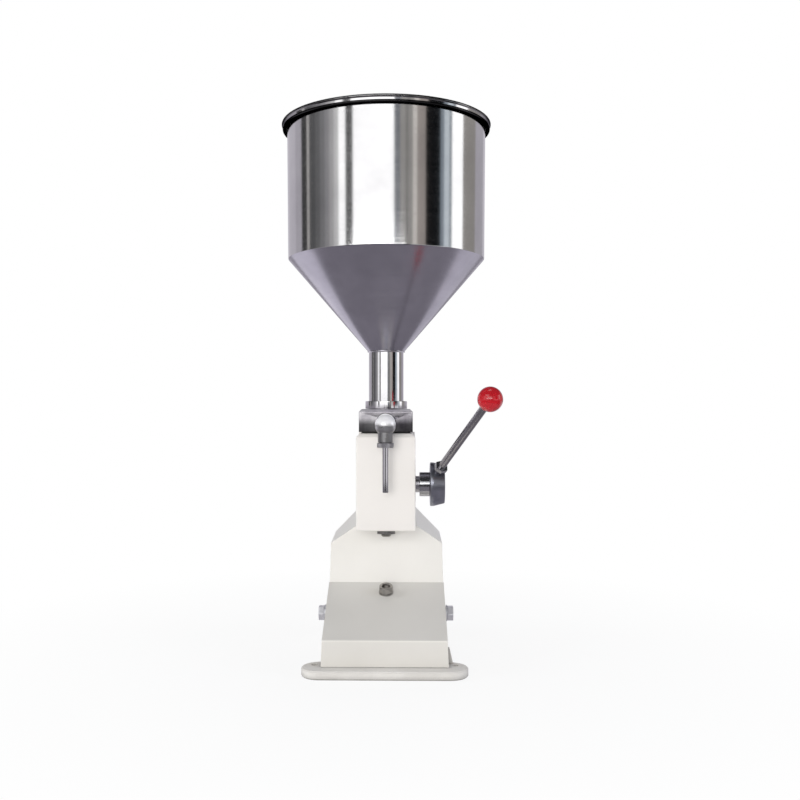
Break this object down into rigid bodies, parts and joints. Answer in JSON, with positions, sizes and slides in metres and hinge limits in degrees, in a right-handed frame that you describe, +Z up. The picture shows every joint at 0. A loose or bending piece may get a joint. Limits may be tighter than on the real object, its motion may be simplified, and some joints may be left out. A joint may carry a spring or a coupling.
{
  "type": "manual filling machine",
  "caption": "Bench-top manual piston filler: open steel hopper on a pump block, cream geared head box with side lever and red ball, sloped cream pedestal on an eared base plate.",
  "frame": {"origin": "on the table, in the base plate's underside, straight under the hopper and piston axis", "axes": "+Z up along the hopper; the nozzle and the sloped apron face -Y; the lever is on the +X side"},
  "size_m": [0.2832, 0.3083, 0.7117],
  "materials": {
    "cream_paint": "satin cream paint",
    "plate_paint": "matt cream paint over a casting",
    "brushed_steel": "brushed stainless steel",
    "polished_steel": "polished stainless steel",
    "dark_steel": "dark satin steel",
    "red_knob": "glossy red",
    "black_rubber": "matt",
    "brass": "turned"
  },
  "bodies": {
    "frame": {"base_plate": "plate_paint", "pedestal_casting": "cream_paint", "apron_cover": "cream_paint", "rear_cover": "cream_paint", "front_washer": "dark_steel", "front_bolt": "dark_steel", "side_washer_left": "dark_steel", "side_bolt_left": "dark_steel", "side_washer_right": "dark_steel", "side_bolt_right": "dark_steel", "foot_bolt_left_1": "dark_steel", "foot_bolt_left_2": "dark_steel", "foot_bolt_right_1": "dark_steel", "foot_bolt_right_2": "dark_steel", "cover_screw_left": "dark_steel", "cover_screw_right": "dark_steel", "head_box": "cream_paint", "head_back_plate": "cream_paint", "head_bolt_left_1": "dark_steel", "head_bolt_left_2": "dark_steel", "head_bolt_right_1": "dark_steel", "head_bolt_right_2": "dark_steel", "bush_right": "brushed_steel", "bush_left": "brass", "rack_guide": "brass", "pump_block": "polished_steel", "block_gasket": "black_rubber", "cylinder_barrel": "polished_steel", "barrel_seal": "black_rubber", "block_bolt_1": "dark_steel", "block_bolt_2": "dark_steel", "block_bolt_3": "dark_steel", "block_bolt_4": "dark_steel", "inlet_seat": "polished_steel", "hopper_shell": "brushed_steel", "hopper_rim": "polished_steel", "hopper_neck": "polished_steel", "neck_collar": "brushed_steel", "outlet_seal": "black_rubber", "outlet_elbow": "polished_steel", "outlet_spring": "brushed_steel", "nozzle_tube": "polished_steel", "nozzle_nut": "brushed_steel", "stroke_lock_nut": "dark_steel"},
    "lever": {"lever_shaft": "dark_steel", "shaft_key": "dark_steel", "pinion": "dark_steel", "hub_sleeve": "dark_steel", "lever_hub": "dark_steel", "lever_rod": "dark_steel", "rod_jam_nut": "dark_steel", "lever_ball": "red_knob"},
    "piston": {"rack": "dark_steel", "piston_rod": "polished_steel", "piston": "polished_steel", "piston_seal_lower": "black_rubber", "piston_seal_upper": "black_rubber"},
    "inlet_ball": {"inlet_ball": "polished_steel"},
    "outlet_ball": {"outlet_ball": "polished_steel"},
    "stroke_screw": {"stroke_screw": "dark_steel"}
  },
  "joints": [
    {"name": "lever_swing", "type": "hinge", "parent": "frame", "child": "lever", "pos_m": [0, -0.0185, 0.23], "axis": [1, 0, 0], "range_deg": [-48, 72]},
    {"name": "piston_slide", "type": "slide", "parent": "frame", "child": "piston", "axis": [0, 0, 1], "range_m": [-0.0101, 0.0151]},
    {"name": "inlet_ball_float", "type": "slide", "parent": "frame", "child": "inlet_ball", "axis": [0, 0, 1], "range_m": [0, 0.0033]},
    {"name": "outlet_ball_lift", "type": "slide", "parent": "frame", "child": "outlet_ball", "axis": [0, 0, -1], "range_m": [0, 0.003], "stiffness_N_per_m": 100, "springref_m": -0.002, "deforming": ["outlet_spring"]},
    {"name": "stroke_screw_travel", "type": "slide", "parent": "frame", "child": "stroke_screw", "axis": [0, 0, 1], "range_m": [-0.014, 0.006]}
  ],
  "couplings": [
    {"joint": "piston_slide", "follows": "lever_swing", "m_per_rad": 0.012}
  ]
}
